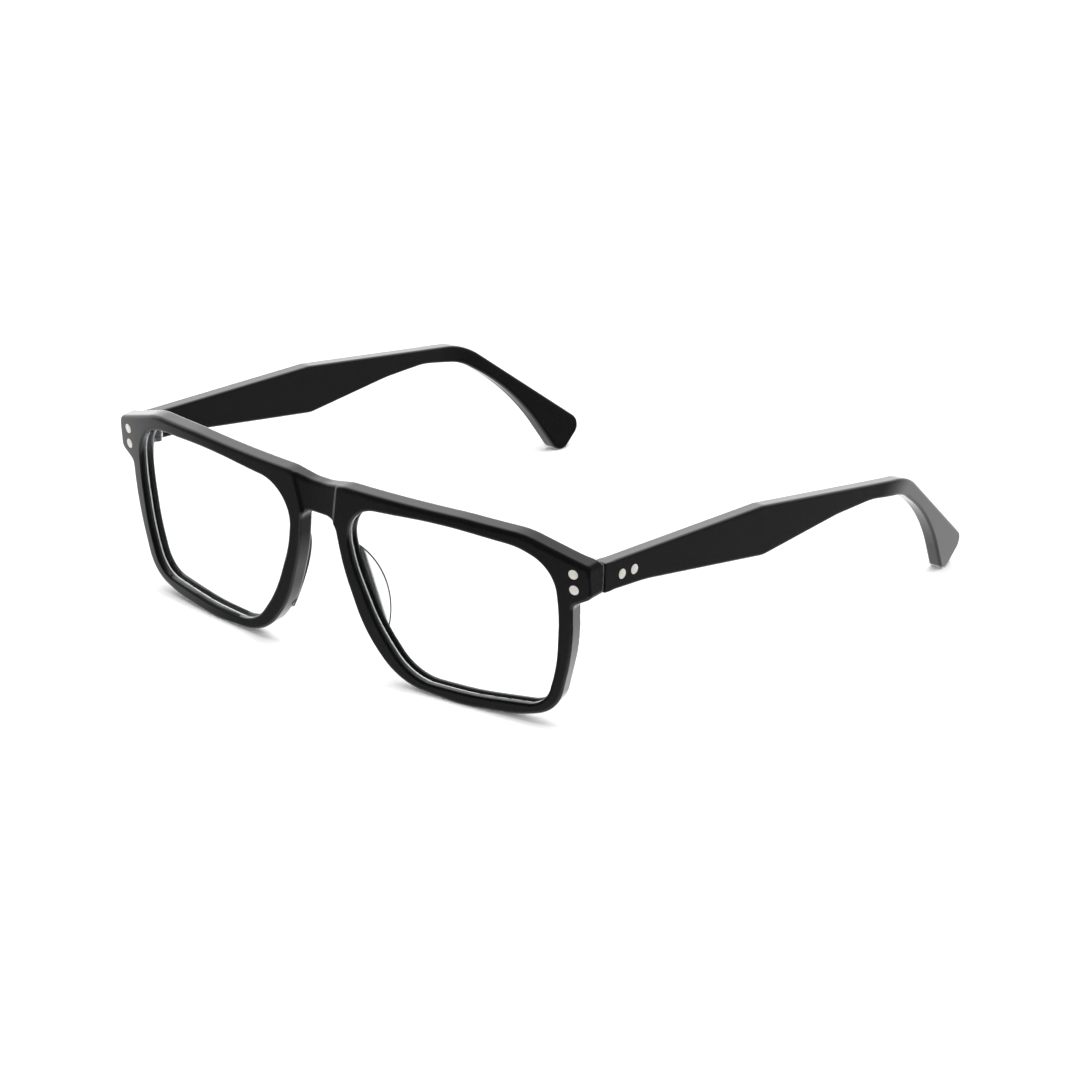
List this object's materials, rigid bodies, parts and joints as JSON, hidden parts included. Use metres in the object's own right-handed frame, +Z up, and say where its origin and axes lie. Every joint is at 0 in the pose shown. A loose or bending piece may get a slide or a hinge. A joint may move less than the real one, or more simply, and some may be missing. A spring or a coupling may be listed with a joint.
{
  "type": "eyeglasses frame",
  "caption": "Full-rim rectangular eyeglasses frame with a set-back bridge, clear lenses, clear nose pads and inward-folding flat temples.",
  "frame": {"origin": "centre of the overall box in X and Y, on the ground plane the rims and temple tips stand on", "axes": "+X towards the wearer's left, +Y from the front towards the ears, +Z up with the glasses standing open on a table"},
  "size_m": [0.1422, 0.1593, 0.046],
  "materials": {
    "black_acetate": "polished",
    "clear_lens": "polished",
    "clear_pad": "polished",
    "hinge_steel": "satin",
    "rivet_steel": "satin",
    "screw_steel": "satin"
  },
  "bodies": {
    "front": {"front_frame": "black_acetate", "lens_right": "clear_lens", "lens_left": "clear_lens", "nose_pad_right": "clear_pad", "nose_pad_left": "clear_pad", "front_hinge_leaf_right": "hinge_steel", "front_hinge_leaf_left": "hinge_steel", "front_rivet_upper_right": "rivet_steel", "front_rivet_lower_right": "rivet_steel", "front_rivet_upper_left": "rivet_steel", "front_rivet_lower_left": "rivet_steel", "hinge_screw_right": "screw_steel", "hinge_screw_left": "screw_steel"},
    "temple_right": {"temple_right": "black_acetate", "temple_hinge_leaf_right": "hinge_steel", "temple_rivet_front_right": "rivet_steel", "temple_rivet_rear_right": "rivet_steel"},
    "temple_left": {"temple_left": "black_acetate", "temple_hinge_leaf_left": "hinge_steel", "temple_rivet_front_left": "rivet_steel", "temple_rivet_rear_left": "rivet_steel"}
  },
  "joints": [
    {"name": "temple_right_fold", "type": "hinge", "parent": "front", "child": "temple_right", "pos_m": [-0.0657, -0.0629, 0.037], "axis": [0, 0, -1], "range_deg": [0, 67]},
    {"name": "temple_left_fold", "type": "hinge", "parent": "front", "child": "temple_left", "pos_m": [0.0657, -0.0629, 0.037], "axis": [0, 0, 1], "range_deg": [0, 88]}
  ]
}
